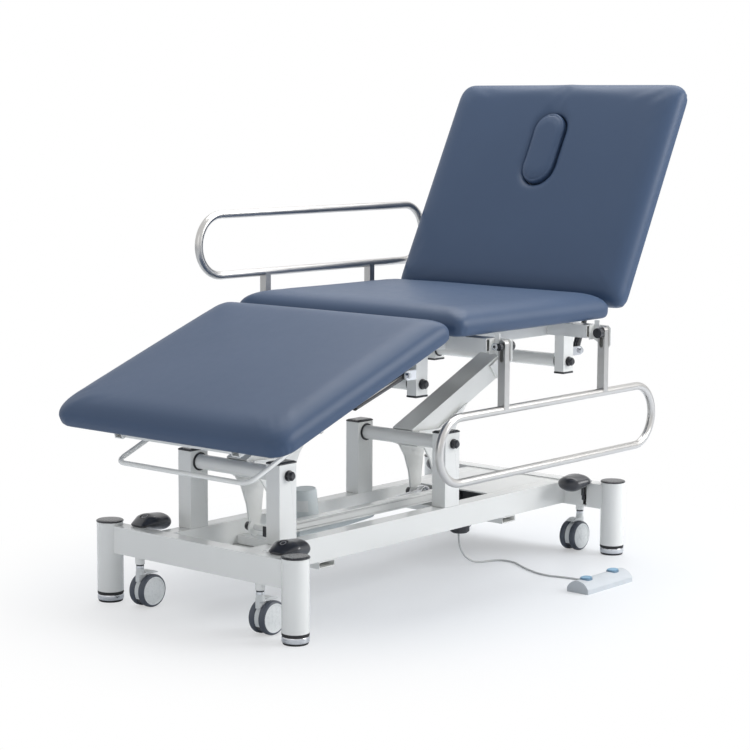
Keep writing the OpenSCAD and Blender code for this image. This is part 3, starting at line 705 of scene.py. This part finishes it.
# ------------------------------------------------------------ small pieces
PIVOT = ((-0.4715, 0.327), (0.1035, 0.327))
LEVER = (0.098, -0.155)
TIE_Y, TIE_HALF = -0.0215, 0.0125
LEVER_PIN_END = 0.0471
GUARD_Y, GUARD_Z = 0.362, 0.5855
KNOB = [(0.0, 0.0), (0.0125, 0.0), (0.0125, 0.0030), (0.0105, 0.0036),
        (0.0105, 0.0130), (0.0100, 0.0150), (0.0075, 0.0172), (0.0, 0.0180)]


def lever_caps():
    """Black knob covers over the ends of the lever pins."""
    for name, (px, pz), body in (("front_lever_caps", PIVOT[0], "front_arm"),
                                 ("rear_lever_caps", PIVOT[1], "rear_arm")):
        b = Build()
        for side in (-1, 1):
            b.lathe(KNOB, "cap", (px + LEVER[0], side * LEVER_PIN_END, pz + LEVER[1]), "y", 24, side)
        b.make(name, body, edge=0.0004)


ACTUATOR = (-0.300, 0.016, 0.140)  # its lower pin
ACTUATOR_TILT = math.atan2(0.032, 0.5015)
MOTOR = (0.088, 0.012, 0.024)  # from that pin: along, across and up


def motor_label():
    """A blank plate wrapped on the foot end side of the lift motor, and a lid seam round its top."""
    b = Build()
    steps, low, high = 10, 0.022, 0.048

    def on_motor(a, z):
        r = 0.0318 - 0.0558 * (z - 0.012)
        return (r * math.cos(a), r * math.sin(a), z)

    pts, faces = [], []
    for k in range(steps + 1):
        a = math.radians(184 + 52 * k / steps)
        pts += [on_motor(a, low), on_motor(a, high)]
    for k in range(steps):
        faces.append((2 * k, 2 * k + 2, 2 * k + 3, 2 * k + 1))
    b.add(pts, faces, "label")
    ring = [(0.0255, 0.0700), (0.0262, 0.0712), (0.0235, 0.0716), (0.0225, 0.0708)]
    b.lathe(ring, "grey", sides=48)

    def place(p):
        c, s = math.cos(ACTUATOR_TILT), math.sin(ACTUATOR_TILT)
        x, y, z = (p + MOTOR).T
        return row(np.stack([x * c - z * s, y, x * s + z * c], 1) + ACTUATOR)

    b.make("motor_label", "actuator_body", move=place)


def tie_plugs():
    """Plastic plugs in the open ends of the tie bar."""
    b = Build()
    z = PIVOT[0][1] + LEVER[1]
    beyond, into, proud = 0.024, 0.004, 0.0016
    half = TIE_HALF - 0.0006
    for pivot, out in zip(PIVOT, (-1, 1)):
        x = pivot[0] + LEVER[0] + out * beyond
        lo, hi = sorted((x - out * into, x + out * proud))
        b.box((lo, TIE_Y - half, z - half), (hi, TIE_Y + half, z + half), "cap")
    b.make("tie_bar_plugs", "tie_bar", edge=0.0008)


def guard_screws():
    """Chrome socket-head screw at the foot end of each guard rail's pivot pin."""
    x = GUARD_LEGS[0] - 0.0225
    for name, side, body in (("near_guard_screws", -1, "near_pin"), ("far_guard_screws", 1, "far_pin")):
        b = Build()
        y = side * GUARD_Y
        head = [(0.0036, 0.004), (0.0036, 0.0), (0.0078, 0.0), (0.0085, 0.0007), (0.0085, 0.0075)]
        b.lathe(head, "chrome", (x - 0.0002, y, GUARD_Z), "x", 36)
        # the black hexagon on the socket's floor is painted shade, darkening the hole where its shade
        # falls
        b.lathe([(0.0, 0.0035), (0.0037, 0.0035)], "cap", (x, y, GUARD_Z), "x", 6)
        b.make(name, body)


PEDAL_TILT = math.radians(25)
RECESS = (-0.042, 0.028, 0.199)  # from the castor's stem on the floor, outwards


def pedal_marks():
    """A plain round inlay in each pedal's recess."""
    c_tilt, s_tilt = math.cos(PEDAL_TILT), math.sin(PEDAL_TILT)
    sunk = 0.0012
    for c in CORNERS:
        sx, sy = corner_sign(c)
        b = Build()
        b.lathe([(0.0, 0.0), (0.0105, 0.0), (0.0105, 0.0010), (0.0, 0.0014)], "cap", sides=40)
        ring = [(0.0055, 0.0011), (0.0055, 0.0019), (0.0070, 0.0019), (0.0070, 0.0011)]
        b.lathe(ring, "mark", sides=36)

        def place(p, sx=sx, sy=sy):
            along, up = p[:, 0], p[:, 2] - sunk
            x = RECESS[0] + along * c_tilt + up * s_tilt
            z = RECESS[2] - along * s_tilt + up * c_tilt
            y = RECESS[1] + p[:, 1]
            return row(np.stack([sx * (STEM_X + x), sy * (STEM_Y + y), z], 1))

        b.make("pedal_mark_" + c, "pedal_" + c, move=place)


lever_caps()
tie_plugs()
motor_label()
guard_screws()
pedal_marks()


# ------------------------------------------------------------------- stage
AMBIENT = 0.52
OVERHEAD, KEY, FILL = 86, 120, 9  # watts
FADE_FROM, FADE_TO = 0.35, 1.25  # metres across the floor


def stage():
    """Pale floor that fades into a white studio, a soft overhead, a near-side key and a weak fill."""
    n = Nodes("studio_floor")
    n.bsdf.inputs["Roughness"].default_value = 0.5
    n.bsdf.inputs["Base Color"].default_value = (0.83, 0.86, 0.905, 1)
    n.bsdf.inputs["Specular IOR Level"].default_value = 0.3
    length = n.new("ShaderNodeVectorMath", operation="LENGTH")
    n.link(n.stretched((1, 1.15, 0)), length.inputs[0])
    fade = n.new("ShaderNodeMapRange")
    fade.interpolation_type = "SMOOTHSTEP"
    fade.inputs["From Min"].default_value = FADE_FROM
    fade.inputs["From Max"].default_value = FADE_TO
    fade.inputs["To Min"].default_value = 0.30
    n.link(length.outputs["Value"], fade.inputs["Value"])
    seen = n.new("ShaderNodeLightPath")
    both = n.new("ShaderNodeMath", operation="MULTIPLY")
    n.link(fade.outputs["Result"], both.inputs[0])
    n.link(seen.outputs["Is Camera Ray"], both.inputs[1])
    white = n.new("ShaderNodeEmission")
    mix = n.new("ShaderNodeMixShader")
    n.link(both.outputs["Value"], mix.inputs["Fac"])
    n.link(n.bsdf.outputs["BSDF"], mix.inputs[1])
    n.link(white.outputs["Emission"], mix.inputs[2])
    n.link(mix.outputs["Shader"], n.tree.nodes["Material Output"].inputs["Surface"])
    data = bpy.data.meshes.new("studio_floor")
    data.from_pydata([(-30, -30, 0), (30, -30, 0), (30, 30, 0), (-30, 30, 0)], [], [(0, 1, 2, 3)])
    data.materials.append(n.mat)
    floor = bpy.data.objects.new("studio_floor", data)
    bpy.context.scene.collection.objects.link(floor)

    world = bpy.data.worlds.new("studio")
    world.use_nodes = True
    tree = world.node_tree
    ambient = tree.nodes["Background"]
    ambient.inputs["Color"].default_value = (0.96, 0.98, 1.0, 1)
    ambient.inputs["Strength"].default_value = AMBIENT
    backdrop = tree.nodes.new("ShaderNodeBackground")
    backdrop.inputs["Color"].default_value = (1, 1, 1, 1)
    path = tree.nodes.new("ShaderNodeLightPath")
    choose = tree.nodes.new("ShaderNodeMixShader")
    # the camera sees white, reflections mostly white, and the rest of the light is dimmer
    mirrored = tree.nodes.new("ShaderNodeMath")
    mirrored.operation = "MULTIPLY_ADD"
    mirrored.inputs[1].default_value = 0.7
    tree.links.new(path.outputs["Is Glossy Ray"], mirrored.inputs[0])
    tree.links.new(path.outputs["Is Camera Ray"], mirrored.inputs[2])
    tree.links.new(mirrored.outputs["Value"], choose.inputs["Fac"])
    tree.links.new(ambient.outputs["Background"], choose.inputs[1])
    tree.links.new(backdrop.outputs["Background"], choose.inputs[2])
    tree.links.new(choose.outputs["Shader"], tree.nodes["World Output"].inputs["Surface"])
    bpy.context.scene.world = world

    def area(name, at, look, size, power, colour=(1, 1, 1)):
        light = bpy.data.lights.new(name, "AREA")
        light.shape = "RECTANGLE"
        light.size, light.size_y = size
        light.energy = power
        light.color = colour
        ob = bpy.data.objects.new(name, light)
        ob.location = at
        ob.rotation_euler = (Vector(look) - Vector(at)).to_track_quat("-Z", "Y").to_euler()
        bpy.context.scene.collection.objects.link(ob)

    area("overhead", (1.2, 0.3, 3.6), (0.2, 0, 0.3), (3.2, 3.2), OVERHEAD)
    area("key", (2.4, -3.6, 2.6), (0, 0, 0.4), (2.6, 2.2), KEY)
    area("fill", (-4.2, -1.0, 1.8), (0, 0, 0.4), (2.4, 2.0), FILL)
    bpy.context.scene.view_settings.view_transform = "Standard"


stage()
